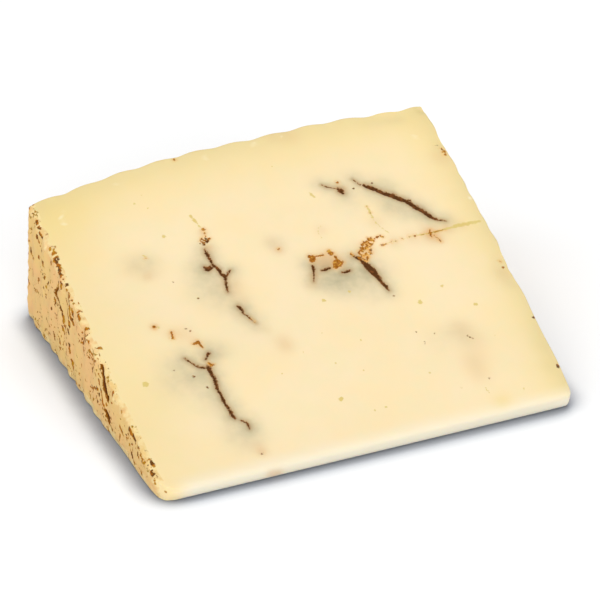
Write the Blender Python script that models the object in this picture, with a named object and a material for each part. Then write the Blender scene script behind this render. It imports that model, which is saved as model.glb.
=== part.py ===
"""A wedge of hard truffle sheep cheese, lying on one of its two cut faces.

The wedge is a sector of a small cheese wheel, so it is made the way it is cut: one cut face is
turned about the wheel's axis. The wheel's axis runs along X, low in front of the blunt tip.
The two ends at -X and +X are the wheel's flat faces, the rear at +Y is its round side, the
underside is one cut face and the top is the other. All of it is one solid.

Units are metres, +Z is up, and the origin is under the middle of the wedge.
"""

import math

import bmesh
import bpy
from mathutils import Vector, noise

# Driving sizes
MM = 0.001
WHEEL_HEIGHT = 100.0 * MM        # from one flat face of the wheel to the other
WHEEL_RADIUS = 99.7 * MM         # from the wheel's axis to the rind
TIP_RADIUS = 10.8 * MM           # the blunt tip stands this far from the wheel's axis
LEFT_REAR_HEIGHT = 32.7 * MM     # the knife cut the wedge thinner at the left end
RIGHT_REAR_HEIGHT = 40.0 * MM

# Rounding of the edges
EDGE_ROUND = 0.8 * MM            # along every cut edge
TIP_ROUND = 1.5 * MM             # the top and bottom edges of the tip are soft
TIP_ROUND_REACH = 14.0 * MM      # over this length the tip's rounding dies out
LEFT_TIP_CORNER = 5.5 * MM       # the tip's left corner, seen from above
RIGHT_TIP_CORNER = 0.8 * MM
REAR_CORNERS = 1.6 * MM

# The rind: ribs left by the basket mould
REAR_RIB_PITCH = 9.5 * MM        # along X on the round side
REAR_RIB_DEPTH = 0.9 * MM
REAR_RIB_SHIFT = 3.0 * MM        # where the first rib starts
FACE_RIB_PITCH = 6.0 * MM        # rings about the wheel's axis on the flat faces
LEFT_RIB_DEPTH = 0.8 * MM
RIGHT_RIB_DEPTH = 0.4 * MM       # the right face is worn smoother
FACE_RIB_START = 30.0 * MM       # nearer the axis than this the flat faces are smooth
RIB_REACH = 2.5 * MM             # how far under the rind the ribs are felt
RIB_ROUNDNESS = 0.8              # below 1 the backs are full and the valleys narrow

# Swell and unevenness
HEEL_BELLY = 3.2 * MM            # the round side is a barrel: fuller between the flat faces
HEEL_BELLY_POWER = 2.5           # how square the belly's shoulders are
HEEL_BELLY_LEAN = 0.15           # it is a little fuller towards the left
HEEL_FLATTENED = 0.8 * MM        # storage pressed the round side flatter between the cut faces
LEFT_SWELL = 0.4 * MM            # the flat faces belly out a little between tip and rear
RIGHT_SWELL = 0.9 * MM
TOP_UNEVEN = 0.35 * MM           # slow waves that the knife left in the upper face
TOP_WAVE_LENGTH = 26.0 * MM
TOP_WAVE_SLICE = 50.0 * MM       # which slice of the noise field gives the waves
RIND_UNEVEN = 0.12 * MM
RIND_WAVE_LENGTH = 11.0 * MM
NOISE_SWING = 0.5                # the noise runs from about minus this to plus this

# Slices of truffle lie in shallow furrows of the upper face.
# Each route is (distance right of the middle, distance behind the tip), in millimetres.
FURROW_DEPTH = 0.35 * MM
FURROW_HALF_WIDTH = 1.1 * MM
FURROW_ROUTES = (
    ((-22.5, 66.0), (-21.5, 60.0), (-20.0, 53.0)),
    ((-17.5, 41.0), (-14.5, 38.0), (-9.5, 35.0)),
    ((-34.0, 33.5), (-29.5, 30.0), (-29.5, 24.5), (-27.5, 16.5), (-25.5, 10.5)),
    ((28.5, 66.5), (35.0, 62.5), (41.5, 57.5), (46.5, 55.5)),
    ((18.5, 67.5), (14.0, 69.0), (7.5, 70.5)),
    ((46.0, 54.0), (36.5, 51.5), (31.5, 52.0), (24.0, 51.0), (15.0, 50.5)),
    ((10.5, 48.5), (13.0, 42.5), (14.5, 36.5)),
    ((3.0, 50.0), (5.0, 45.5), (0.5, 42.5)),
)

# Cells of the mesh: one narrow cell along each edge and even cells between
COLUMNS = 50
ROWS = 60
TURN_STEPS = 10

AXIS_Y = -TIP_RADIUS
HALF_WIDTH = WHEEL_HEIGHT / 2
LENGTH = WHEEL_RADIUS - TIP_RADIUS
MEAN_ANGLE = math.asin((LEFT_REAR_HEIGHT + RIGHT_REAR_HEIGHT) / 2 / WHEEL_RADIUS)
TOUCHING = 1e-7                  # less than this is no distance at all
TOP_STARTS = 0.99                # a point above this part of the thickness is on the upper face
FACES_OUT = 0.7                  # a face whose normal leans this far towards an axis faces it
CREASE_ANGLE = math.radians(40.0)


def clear_scene():
    for item in list(bpy.data.objects):
        bpy.data.objects.remove(item, do_unlink=True)


def material(name, color, roughness):
    """A plain Principled surface."""
    made = bpy.data.materials.new(name)
    made.use_nodes = True
    shader = made.node_tree.nodes["Principled BSDF"]
    shader.inputs["Base Color"].default_value = (*color, 1.0)
    shader.inputs["Roughness"].default_value = roughness
    shader.inputs["Metallic"].default_value = 0.0
    return made


def smooth(value):
    """0 below 0, 1 above 1, and a soft step between."""
    value = min(max(value, 0.0), 1.0)
    return value * value * (3.0 - 2.0 * value)


def spread(part, cells, length, edge):
    """Place of a grid line: the first and last cells are one edge wide, the rest are even."""
    index = part * cells
    if index <= 1.0:
        return index * edge
    if index >= cells - 1.0:
        return length - (cells - index) * edge
    return edge + (index - 1.0) * (length - 2.0 * edge) / (cells - 2.0)


def turned_cut_face():
    """The lower cut face as a grid, turned about the wheel's axis into a closed sector."""
    mesh = bmesh.new()
    bmesh.ops.create_grid(mesh, x_segments=COLUMNS, y_segments=ROWS, size=0.5)
    for vertex in mesh.verts:
        across = spread(vertex.co.x + 0.5, COLUMNS, WHEEL_HEIGHT, EDGE_ROUND)
        along = spread(vertex.co.y + 0.5, ROWS, LENGTH, EDGE_ROUND)
        vertex.co = Vector((across - HALF_WIDTH, along, 0.0))
    bmesh.ops.spin(
        mesh,
        geom=mesh.verts[:] + mesh.edges[:] + mesh.faces[:],
        cent=(0.0, AXIS_Y, 0.0),
        axis=(1.0, 0.0, 0.0),
        angle=MEAN_ANGLE,
        steps=TURN_STEPS,
    )
    bmesh.ops.recalc_face_normals(mesh, faces=mesh.faces[:])
    return mesh


def rounded(point, low, high, radius):
    """A point of a box, drawn in so that the box's edges become round."""
    core = [min(max(c, a + radius), b - radius) for c, a, b in zip(point, low, high)]
    out = Vector(point) - Vector(core)
    if out.length < TOUCHING:
        return list(point)
    reach = max(abs(value) for value in out)
    return [c + o * reach / out.length for c, o in zip(core, out)]


def ripple(place, pitch):
    """One rib after another: round backs with narrower valleys, from -0.5 to 0.5."""
    return abs(math.sin(math.pi * place / pitch)) ** RIB_ROUNDNESS - 0.5


def rear_height(x):
    part = (x + HALF_WIDTH) / WHEEL_HEIGHT
    return LEFT_REAR_HEIGHT + (RIGHT_REAR_HEIGHT - LEFT_REAR_HEIGHT) * part


def distance_to_route(x, y, route):
    """Shortest distance from a place on the upper face to a furrow's route."""
    best = 1.0
    for start, end in zip(route, route[1:]):
        a = Vector(start) * MM
        run = Vector(end) * MM - a
        part = min(max((Vector((x, y)) - a).dot(run) / run.length_squared, 0.0), 1.0)
        best = min(best, (Vector((x, y)) - a - run * part).length)
    return best


def furrow(x, y):
    """How deep the upper face sinks along the nearest slice of truffle."""
    nearest = min(distance_to_route(x, y, route) for route in FURROW_ROUTES)
    return FURROW_DEPTH * math.exp(-((nearest / FURROW_HALF_WIDTH) ** 2))


def plan_rounded(x, radius):
    """Round the four corners as they are seen from above."""
    corner = REAR_CORNERS
    if radius < TIP_RADIUS + LENGTH / 2:
        corner = LEFT_TIP_CORNER if x < 0.0 else RIGHT_TIP_CORNER
    low = (-HALF_WIDTH, TIP_RADIUS)
    high = (HALF_WIDTH, WHEEL_RADIUS)
    return rounded((x, radius), low, high, corner)


def edge_rounded(x, radius, rise, full_rise):
    """Round the edges between the faces, more so at the tip."""
    near_tip = 1.0 - smooth((radius - TIP_RADIUS) / TIP_ROUND_REACH)
    amount = EDGE_ROUND + (TIP_ROUND - EDGE_ROUND) * near_tip
    low = (-HALF_WIDTH, TIP_RADIUS, 0.0)
    high = (HALF_WIDTH, WHEEL_RADIUS, full_rise)
    return rounded((x, radius, rise), low, high, amount)


def heel_belly(x):
    """How far the round side swells out at a place along the wheel's axis."""
    part = x / HALF_WIDTH
    shoulder = max(1.0 - abs(part) ** HEEL_BELLY_POWER, 0.0)
    return HEEL_BELLY * shoulder * (1.0 - HEEL_BELLY_LEAN * part)


def rind_relief(x, radius, lift, part_up):
    """Ribs, swell and unevenness of the rind, fading out under it."""
    along = (radius - TIP_RADIUS) / LENGTH
    near_rear = smooth((radius - WHEEL_RADIUS + RIB_REACH) / RIB_REACH)
    near_face = smooth((abs(x) - HALF_WIDTH + RIB_REACH) / RIB_REACH)
    waves = noise.noise(Vector((x, radius, lift)) / RIND_WAVE_LENGTH) / NOISE_SWING
    out_rear = REAR_RIB_DEPTH * ripple(x + REAR_RIB_SHIFT, REAR_RIB_PITCH) + RIND_UNEVEN * waves
    out_rear -= HEEL_FLATTENED * 4.0 * part_up * (1.0 - part_up)
    ribbed = smooth((radius - FACE_RIB_START) / FACE_RIB_START)
    depth, swell = (RIGHT_RIB_DEPTH, RIGHT_SWELL) if x > 0.0 else (LEFT_RIB_DEPTH, LEFT_SWELL)
    swell *= math.sin(math.pi * along)
    out_face = depth * ribbed * ripple(radius, FACE_RIB_PITCH) + RIND_UNEVEN * waves
    side = math.copysign(1.0, x)
    new_x = x + side * (near_face * out_face + swell * abs(x) / HALF_WIDTH)
    return new_x, radius + near_rear * out_rear + heel_belly(x) * along * along


def top_relief(x, radius, part_up):
    """Waves and furrows of the upper face: none at the underside, all of it at the top."""
    waves = noise.noise(Vector((x, radius, TOP_WAVE_SLICE)) / TOP_WAVE_LENGTH) / NOISE_SWING
    calm = smooth((radius - TIP_RADIUS) / TIP_ROUND_REACH)
    sunk = furrow(x, radius - TIP_RADIUS) if part_up > TOP_STARTS else 0.0
    return TOP_UNEVEN * part_up * waves * calm - sunk


def shaped(place):
    """Where a point of the plain sector lies on the real wedge."""
    x = place.x
    radius = math.hypot(place.y - AXIS_Y, place.z)
    turn = math.atan2(place.z, place.y - AXIS_Y) / MEAN_ANGLE
    up = spread(turn, TURN_STEPS, 1.0, EDGE_ROUND / (WHEEL_RADIUS * MEAN_ANGLE))
    angle = math.asin(rear_height(x) / WHEEL_RADIUS)
    x, radius = plan_rounded(x, radius)
    x, radius, rise = edge_rounded(x, radius, up * radius * angle, radius * angle)
    part_up = rise / (radius * angle)
    flat_under = rise < TOUCHING
    x, radius = rind_relief(x, radius, rise, part_up)
    rise = 0.0 if flat_under else radius * angle * part_up + top_relief(x, radius, part_up)
    return Vector((x, AXIS_Y + radius * math.cos(rise / radius), radius * math.sin(rise / radius)))


def centre_on_base(mesh):
    """Put the origin under the middle of the wedge's box."""
    for axis in (0, 1):
        values = [vertex.co[axis] for vertex in mesh.verts]
        middle = (min(values) + max(values)) / 2
        for vertex in mesh.verts:
            vertex.co[axis] -= middle


def merge_underside(mesh):
    """The underside is truly flat, so its cells become one face."""
    flat = [face for face in mesh.faces if all(v.co.z < TOUCHING for v in face.verts)]
    bmesh.ops.dissolve_faces(mesh, faces=flat, use_verts=False)


def paint_faces(mesh):
    """Cut faces keep material 0, the paste. The three outer faces get material 1, the rind."""
    for face in mesh.faces:
        on_end = abs(face.normal.x) > FACES_OUT
        on_rear = face.normal.y > FACES_OUT
        face.material_index = 1 if on_end or on_rear else 0


def make_wedge():
    mesh = turned_cut_face()
    for vertex in mesh.verts:
        vertex.co = shaped(vertex.co)
    centre_on_base(mesh)
    merge_underside(mesh)
    mesh.normal_update()
    paint_faces(mesh)
    data = bpy.data.meshes.new("cheese_wedge")
    mesh.to_mesh(data)
    mesh.free()
    data.materials.append(material("cheese_paste", (0.93, 0.80, 0.47), 0.5))
    data.materials.append(material("cheese_rind", (0.70, 0.47, 0.20), 0.6))
    data.shade_smooth()
    data.set_sharp_from_angle(angle=CREASE_ANGLE)
    wedge = bpy.data.objects.new("cheese_wedge", data)
    bpy.context.scene.collection.objects.link(wedge)
    return wedge


clear_scene()
make_wedge()
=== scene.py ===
# %% [markdown]
# # A wedge of truffle sheep cheese
#
# The real thing is a wedge cut from a small wheel, about 102 mm wide, 93 mm deep and 40 mm high
# at the back, lying on one of its two cut faces. The paste is firm and ivory, slices of black
# truffle run through it, and the outside carries a tan rind printed by a basket mould.
#
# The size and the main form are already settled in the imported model, which is loaded here as a
# fixed frame. What is left is the finish: finer relief, the truffle, and the two surfaces.

# %% Load the frame
import math
import random

import bpy
import numpy as np
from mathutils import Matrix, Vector
from mathutils.kdtree import KDTree


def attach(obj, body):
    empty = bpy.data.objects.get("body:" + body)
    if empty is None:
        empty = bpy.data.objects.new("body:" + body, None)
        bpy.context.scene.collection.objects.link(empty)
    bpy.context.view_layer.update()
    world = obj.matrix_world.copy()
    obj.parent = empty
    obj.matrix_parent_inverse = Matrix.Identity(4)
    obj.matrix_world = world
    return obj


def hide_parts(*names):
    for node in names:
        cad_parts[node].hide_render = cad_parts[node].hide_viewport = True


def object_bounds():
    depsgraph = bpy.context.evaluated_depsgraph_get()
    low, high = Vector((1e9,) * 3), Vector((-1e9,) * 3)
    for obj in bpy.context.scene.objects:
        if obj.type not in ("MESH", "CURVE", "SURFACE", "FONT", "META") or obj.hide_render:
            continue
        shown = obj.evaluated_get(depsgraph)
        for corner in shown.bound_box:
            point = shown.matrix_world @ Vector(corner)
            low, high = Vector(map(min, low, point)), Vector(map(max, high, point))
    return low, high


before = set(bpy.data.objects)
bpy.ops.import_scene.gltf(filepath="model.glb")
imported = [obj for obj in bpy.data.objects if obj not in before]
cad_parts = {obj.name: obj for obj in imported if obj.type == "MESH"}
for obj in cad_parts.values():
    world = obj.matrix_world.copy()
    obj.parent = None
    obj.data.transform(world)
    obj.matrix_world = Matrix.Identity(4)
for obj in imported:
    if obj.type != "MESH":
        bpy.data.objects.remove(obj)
cad_low, cad_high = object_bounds()
MM = 0.001
print("frame size in mm:", [round(side / MM, 1) for side in cad_high - cad_low])

# %% [markdown]
# ## The camera
#
# The picture was taken from about 0.65 m with a long lens, 30 degrees above the table and turned
# 23 degrees to the left of the blunt tip. A long lens keeps the cut face almost free of
# perspective. The camera comes first, because the truffle is placed by looking through it.

# %% Camera
PICTURE_SIZE = 600                # the picture is square, in pixels
VIEW_AZIMUTH = math.radians(-23.44)
VIEW_ELEVATION = math.radians(30.17)
VIEW_DISTANCE = 650 * MM
VIEW_CENTRE = Vector((2.22, -0.42, 14.94)) * MM
SENSOR_WIDTH = 36.0               # camera sizes are in mm in Blender
LENS = 168.3

to_camera = Vector((
    math.sin(VIEW_AZIMUTH) * math.cos(VIEW_ELEVATION),
    -math.cos(VIEW_AZIMUTH) * math.cos(VIEW_ELEVATION),
    math.sin(VIEW_ELEVATION),
))
bpy.ops.object.camera_add(
    location=VIEW_CENTRE + to_camera * VIEW_DISTANCE,
    rotation=(-to_camera).to_track_quat("-Z", "Y").to_euler(),
)
camera = bpy.context.object
camera.data.sensor_width = SENSOR_WIDTH
camera.data.lens = LENS
camera.data.clip_start = 10 * MM
camera.data.clip_end = 20.0
bpy.context.scene.camera = camera
print("one pixel shows", round(VIEW_DISTANCE / MM * SENSOR_WIDTH / LENS / PICTURE_SIZE, 3), "mm")

# %% [markdown]
# ## Colours and nodes
#
# Colours are written as they would be picked from a picture, and one function turns them to
# the linear values that the shader wants. A material is a tree of nodes. Each kind of node that
# is used here is one row of a small table: its type, the sockets that are filled in order, the
# output that is read, and its settings. One function adds a node of any kind, so a material
# reads like a recipe.

# %% Kinds of node
BLEND = ("ShaderNodeMix", (0, 6, 7), 2, {"data_type": "RGBA"})
FADE = ("ShaderNodeMapRange", (0, 1, 2, 3, 4), 0, {"interpolation_type": "SMOOTHSTEP"})
EVEN = ("ShaderNodeMapRange", (0, 1, 2, 3, 4), 0, {})
PLUS = ("ShaderNodeMath", (0, 1), 0, {"operation": "ADD"})
MINUS = ("ShaderNodeMath", (0, 1), 0, {"operation": "SUBTRACT"})
TIMES = ("ShaderNodeMath", (0, 1), 0, {"operation": "MULTIPLY"})
LARGER = ("ShaderNodeMath", (0, 1), 0, {"operation": "MAXIMUM"})
UNSIGNED = ("ShaderNodeMath", (0,), 0, {"operation": "ABSOLUTE"})
STORED = ("ShaderNodeAttribute", (), "Fac", {})
PLACE = ("ShaderNodeTexCoord", (), "Object", {})
APART = ("ShaderNodeSeparateXYZ", (0,), 0, {})
TOGETHER = ("ShaderNodeCombineXYZ", (0, 1), 0, {})
LENGTH = ("ShaderNodeVectorMath", (0,), "Value", {"operation": "LENGTH"})
TURNED = ("ShaderNodeMapping", (0, 1, 2, 3), 0, {"vector_type": "TEXTURE"})
CLOUDY = ("ShaderNodeTexNoise", ("Vector", "Scale", "Detail"), "Fac", {})
OPENNESS = ("ShaderNodeAmbientOcclusion", ("Distance",), "AO", {"samples": 16})
CAMERA_RAY = ("ShaderNodeLightPath", (), "Is Camera Ray", {})


def fill(tree, node, values):
    """Fills sockets of a node with numbers, colours or links."""
    for socket, value in values.items():
        if isinstance(value, bpy.types.NodeSocket):
            tree.links.new(value, node.inputs[socket])
        else:
            node.inputs[socket].default_value = value


def add(tree, kind, *values, **settings):
    """Adds a node, sets it, fills its sockets in order and gives its output."""
    type_name, sockets, output, usual = kind
    made = tree.nodes.new(type_name)
    for name, value in {**usual, **settings}.items():
        setattr(made, name, value)
    fill(tree, made, dict(zip(sockets, values)))
    return made.outputs[output]


print("a blend keeps its colours in sockets", BLEND[1][1:])

# %% Colours, patterns and materials
def linear(code):
    """A linear colour from a hex code."""
    parts = [int(code[i:i + 2], 16) / 255 for i in (1, 3, 5)]
    return (*[p / 12.92 if p <= 0.04045 else ((p + 0.055) / 1.055) ** 2.4 for p in parts], 1.0)


def lumps(tree, size, detail=2.0, longer=1.0, lean=0.0, shift=0.0):
    """A cloudy pattern, its lumps about as large as size and longer along a lean from +Y."""
    turned = add(
        tree, TURNED, add(tree, PLACE), (shift, shift, shift), (lean, 0.0, 0.0), (1.0, longer, 1.0),
    )
    return add(tree, CLOUDY, turned, 1.0 / size, detail)


def new_material(name):
    """An empty Principled material, its tree and its shader."""
    made = bpy.data.materials.new(name)
    made.use_nodes = True
    return made, made.node_tree, made.node_tree.nodes["Principled BSDF"]


print("half grey as light:", round(linear("#808080")[0], 3))

# %% [markdown]
# ## Floor and light
#
# A shop picture of cheese is lit very softly on white paper that is a little over-exposed, so
# the floor is plain white and only a soft shadow near the wedge tells where it stands. One broad
# lamp above and a little behind gives the top its light, and the white surroundings fill the
# sides. A sun with a wide angle is the simplest broad lamp: it has no edge to place, and it
# lights the floor evenly out to the horizon, so no backdrop is needed. Two lower ones, from the
# front and the left, open up the blunt tip and the rind. Paper is matt, so the floor has no gloss
# at all. Its colour carries painted shadow: it is painted grey where the wedge hems it in, which
# gives the tight shadow along the foot, and painted a cooler white a little farther out.

# %% Floor
FLOOR_SIZE = 12.0                 # metres
FLOOR_WHITE = (0.99, 0.995, 1.0, 1.0)      # over-exposed paper
PAINTED_SHADE_WHITE = (0.87, 0.93, 1.0, 1.0)      # painted shade: cooler beside the warm wedge, as the picture has it
PAINTED_CONTACT_SHADOW = (0.36, 0.38, 0.43, 1.0)     # and painted shadow grey right against it
PAINTED_SHADE_REACH = 25 * MM            # how far from the wedge the painted cooler shade goes
PAINTED_SHADOW_REACH = 7 * MM            # and the painted shadow grey
BY_A_WALL = 0.5                   # a place against a wall is open to half of the sky


def open_sky(tree, reach):
    """How open a place is when it only looks as far as the reach, from 0 by a wall to 1."""
    return add(tree, FADE, add(tree, OPENNESS, reach), BY_A_WALL, 1.0)


bpy.ops.object.select_all(action="DESELECT")
bpy.ops.mesh.primitive_plane_add(size=FLOOR_SIZE)
floor = bpy.context.object
floor.name = "floor"
paper, paper_tree, paper_shader = new_material("white_matt_paper_painted_shadow")
# the paper's colour is painted with shade: a cooler white near the wedge, and grey shadow right against
# it
white = add(paper_tree, BLEND, open_sky(paper_tree, PAINTED_SHADE_REACH), PAINTED_SHADE_WHITE, FLOOR_WHITE)
paper_colour_painted_shadow = add(paper_tree, BLEND, open_sky(paper_tree, PAINTED_SHADOW_REACH), PAINTED_CONTACT_SHADOW, white)
fill(paper_tree, paper_shader, {
    "Base Color": paper_colour_painted_shadow, "Roughness": 1.0, "Specular IOR Level": 0.0,
})
floor.data.materials.append(paper)
print("floor of", FLOOR_SIZE, "m, grey within", round(PAINTED_SHADOW_REACH / MM), "mm of the wedge")

# %% Lamps and surroundings
LAMP_SPREAD = math.radians(60.0)  # how wide a lamp looks from the wedge
TOP_LAMP = (60.0, 78.0, 0.85)     # degrees from +X towards +Y, degrees above the floor, power
FRONT_LAMP = (-100.0, 15.0, 1.9)
LEFT_LAMP = (-175.0, 30.0, 0.7)
ROOM_POWER = 0.53                 # light that the surroundings give
BACKGROUND = 1.0                  # what the camera sees past the floor


def add_lamp(name, turn, height, power):
    """A broad lamp in a direction."""
    turn, height = math.radians(turn), math.radians(height)
    towards = Vector((
        math.cos(turn) * math.cos(height), math.sin(turn) * math.cos(height), math.sin(height),
    ))
    bpy.ops.object.light_add(type="SUN", rotation=towards.to_track_quat("Z", "Y").to_euler())
    bpy.context.object.name = name
    bpy.context.object.data.energy = power
    bpy.context.object.data.angle = LAMP_SPREAD


add_lamp("top_lamp", *TOP_LAMP)
add_lamp("front_lamp", *FRONT_LAMP)
add_lamp("left_lamp", *LEFT_LAMP)
room = bpy.data.worlds.new("white_room")
room.use_nodes = True
bpy.context.scene.world = room
strength = add(
    room.node_tree, EVEN, add(room.node_tree, CAMERA_RAY), 0.0, 1.0, ROOM_POWER, BACKGROUND,
)
fill(room.node_tree, room.node_tree.nodes["Background"], {
    "Color": (1.0, 1.0, 1.0, 1.0), "Strength": strength,
})
bpy.context.scene.view_settings.view_transform = "Standard"
print("lamps:", TOP_LAMP, FRONT_LAMP, LEFT_LAMP)

# %% [markdown]
# ## The wedge
#
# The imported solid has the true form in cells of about 2 mm. A copy of it is the best blank for
# the finished piece, because it can't drift from the real size. The copy comes as loose
# triangles, so its doubles are merged and its triangles joined back to squares. The underside
# is flat and becomes one face. A round of Subdivision Surface then brings the cells to about a
# millimetre and turns the folds between them into soft curves.

# %% A copy of the solid, made whole again
MERGE = 0.001 * MM                # doubles are closer together than this
JOIN_ANGLE = math.radians(60.0)   # two triangles may differ by this much and still be one square
FACES_DOWN = -0.99                # the underside is where a normal points lower than this
ROUNDS = 1                        # of Subdivision Surface


def edit_selected(piece, select_face=None):
    """Makes one piece active in edit mode, with only the wanted faces selected."""
    bpy.ops.object.select_all(action="DESELECT")
    piece.select_set(True)
    bpy.context.view_layer.objects.active = piece
    bpy.ops.object.mode_set(mode="EDIT")
    bpy.ops.mesh.select_mode(type="FACE")
    bpy.ops.mesh.select_all(action="SELECT" if select_face is None else "DESELECT")
    if select_face is not None:
        bpy.ops.object.mode_set(mode="OBJECT")
        for face in piece.data.polygons:
            face.select = bool(select_face(face))
        bpy.ops.object.mode_set(mode="EDIT")


def apply_modifier(piece, kind, **settings):
    """Adds a modifier, sets it and applies it."""
    modifier = piece.modifiers.new(kind.lower(), kind)
    for name, value in settings.items():
        setattr(modifier, name, value)
    bpy.context.view_layer.objects.active = piece
    bpy.ops.object.modifier_apply(modifier=modifier.name)


wedge = bpy.data.objects.new("truffle_cheese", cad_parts["cheese_wedge"].data.copy())
bpy.context.scene.collection.objects.link(wedge)
wedge.data.materials.clear()
edit_selected(wedge)
bpy.ops.mesh.remove_doubles(threshold=MERGE)
bpy.ops.mesh.tris_convert_to_quads(face_threshold=JOIN_ANGLE, shape_threshold=JOIN_ANGLE)
bpy.ops.object.mode_set(mode="OBJECT")
edit_selected(wedge, lambda face: face.normal.z < FACES_DOWN)
bpy.ops.mesh.dissolve_faces()
bpy.ops.object.mode_set(mode="OBJECT")
apply_modifier(wedge, "SUBSURF", levels=ROUNDS, render_levels=ROUNDS)
print("faces after subdivision:", len(wedge.data.polygons))

# %% [markdown]
# ## Seeing through the camera
#
# Where each slice of truffle lies is read off the picture, in pixels. To put it on the
# cheese, a ray goes from the camera through that pixel until it meets the wedge, so whatever is
# placed this way lies exactly on the surface, from every side.

# %% From a pixel to the surface
def on_wedge(px, py):
    """The place on the wedge that shows at a pixel of the picture."""
    half = PICTURE_SIZE / 2
    step = SENSOR_WIDTH / PICTURE_SIZE
    aim = Vector(((px - half) * step, (half - py) * step, -LENS))
    aim.rotate(camera.matrix_world.to_quaternion())
    hit, place, _, _ = wedge.ray_cast(camera.matrix_world.translation, aim.normalized())
    if not hit:
        raise ValueError(f"pixel {px}, {py} misses the wedge")
    return place


bpy.context.view_layer.update()
print("middle of the picture in mm:", [round(v / MM, 1) for v in on_wedge(300, 300)])

# %% [markdown]
# ## Where the truffle lies
#
# Each slice, crack and crumb is a short route of points: pixel right, pixel down, and half its
# width in millimetres there. A route of one point is a round spot, and a width below 0 is a
# thread so fine that it only breaks through here and there. Black truffle is dark brown, and
# where it crumbles or bleeds into the paste it turns orange. A few flecks are plain yellow.

# %% Dark truffle
UPPER_SLICE = (
    (364.5, 185.5, 0.34), (368, 186.8, 0.48), (375.5, 189.6, 0.46), (384.7, 193.6, 0.5),
    (392.3, 195.6, 0.68), (398, 198.6, 0.54), (406, 201.2, 0.48), (412, 205, 0.52), (417, 208, 0.58),
    (422.4, 210.6, 0.52), (430.6, 216.4, 0.46), (436.7, 219.5, 0.24), (446, 221, 0),
)
UPPER_LUMP = ((414, 207.5, 0.35), (416.5, 209, 0.3))
UPPER_LEAD = ((352.5, 179.2, -0.02), (356.6, 182.2, 0.04), (360.2, 184.8, 0.04))
UPPER_CHUNK = ((338, 188.8, 0.3), (340.4, 190.2, 0.62), (342.8, 193, 0.28))
UPPER_THREAD = ((321.4, 184.8, -0.04), (325.5, 186.5, 0.03), (331, 187.8, -0.04), (338, 188.6, 0.1))
LENS_SLICE = (
    (361.2, 260.6, 0.3), (365.3, 263.8, 0.58), (369.8, 268, 0.88), (373.4, 271.8, 0.8),
    (377, 275.8, 0.55), (380.6, 280.2, 0.4), (385.7, 286.3, 0.34), (388.8, 290.4, 0.1),
)
LENS_TAIL = ((353.6, 256.4, 0.15), (356.4, 257.6, 0.35), (360, 259.4, 0.3))
LEFT_RIM = (
    (312.6, 266, 0.18), (313.5, 268.4, 0.36), (313.9, 272, 0.14), (314, 277, 0.06), (313.6, 282, -0.06),
)
LEFT_DASH = ((322, 270.2, 0.16), (325, 269.4, 0.34), (329.5, 268, 0.2))
MIDDLE_DASH = ((342.6, 272.4, 0.16), (345.5, 271.8, 0.32), (350, 270.4, 0.2))
LONG_VEIN = (
    (204.9, 249.7, 0.14), (206.8, 253.6, 0.42), (209.1, 258.1, 0.27), (211.8, 262.7, 0.24),
    (213, 265.4, 0.28), (216, 266.8, 0.28), (219, 269.6, 0.38), (220.9, 273.5, 0.27),
    (225.1, 276.6, 0.46), (225.4, 280.5, 0.17), (226.7, 286.5, 0.2), (227.8, 292, 0.1),
)
LONG_TWIG = ((225.5, 277, 0.3), (227.6, 273.6, 0.24), (230.2, 270.6, 0.09))
LONG_BITE = ((205.4, 267.4, 0.34), (208.2, 268.8, 0.6), (210.6, 267.6, 0.5))
RING = ((202.6, 246.3, 0.4), (202.4, 240, 0.5), (205.6, 237.6, 0.6), (207.6, 242, 0.4))
LOWER_END = (
    (238.6, 306.4, 0.3), (240.6, 308.6, 0.28), (242.6, 310.6, 0.2), (243.5, 313.4, 0.18),
    (246.8, 315.4, 0.12), (252, 320, -0.02), (256, 323, -0.1),
)
FRONT_VEIN = (
    (208.4, 366.4, 0.36), (209.4, 369.4, 0.46), (211, 373, 0.33), (213.7, 376.9, 0.36),
    (215.6, 382, 0.32), (217.2, 388.4, 0.36), (220.7, 394.3, 0.2), (223.5, 400.8, 0.27),
    (226.7, 406.2, 0.22), (230.3, 411, 0.32), (232.3, 416, 0.34), (235.4, 418.7, 0.14),
)
FRONT_BRANCH = (
    (184.6, 358.5, 0.07), (189.9, 362, 0.1), (195.3, 365.6, 0.13), (199.6, 367.4, 0.2),
    (206.1, 367.8, 0.2),
)
FRONT_DROP = ((208.6, 353.4, 0.28), (207.2, 356.6, 0.2), (205.6, 359.6, 0.12))
FRONT_TAIL = ((240.8, 420.3, 0.05), (246.8, 422.6, 0.14), (248.6, 425, 0.22), (249.6, 428.6, 0.12))
TRUFFLE = (
    UPPER_SLICE, UPPER_LUMP, UPPER_LEAD, UPPER_CHUNK, UPPER_THREAD, LENS_SLICE, LENS_TAIL, LEFT_RIM,
    LEFT_DASH, MIDDLE_DASH, LONG_VEIN, LONG_TWIG, LONG_BITE, LOWER_END, FRONT_VEIN, FRONT_BRANCH,
    FRONT_DROP, FRONT_TAIL,
)
TRUFFLE_DOTS = (
    (353.6, 188.4, 0.15), (372, 182.8, 0.17), (409.7, 200.1, 0.22), (193.9, 376.4, 0.26),
    (207.4, 387.2, 0.22), (261.9, 453.7, 0.2), (190.4, 330.9, 0.12), (185.7, 328.4, 0.1),
    (470, 337, 0.1), (489.5, 378, 0.1), (393.9, 296, 0.12), (436.6, 144.8, 0.14), (442.4, 149.2, 0.12),
    (430, 133.4, 0.06), (424.6, 341.4, 0.06), (424.8, 343.8, 0.06), (416.5, 331.8, 0.05),
    (434.8, 333.2, 0.04), (467.6, 335.6, 0.05), (473, 338.4, 0.05), (173.4, 282, 0.06),
    (198.2, 298.4, 0.06), (174, 370, 0.05), (206, 269.6, 0.3), (404, 201, 0.2), (429, 209.6, 0.05),
)
print("truffle:", len(TRUFFLE), "routes and", len(TRUFFLE_DOTS), "dots")

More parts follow.
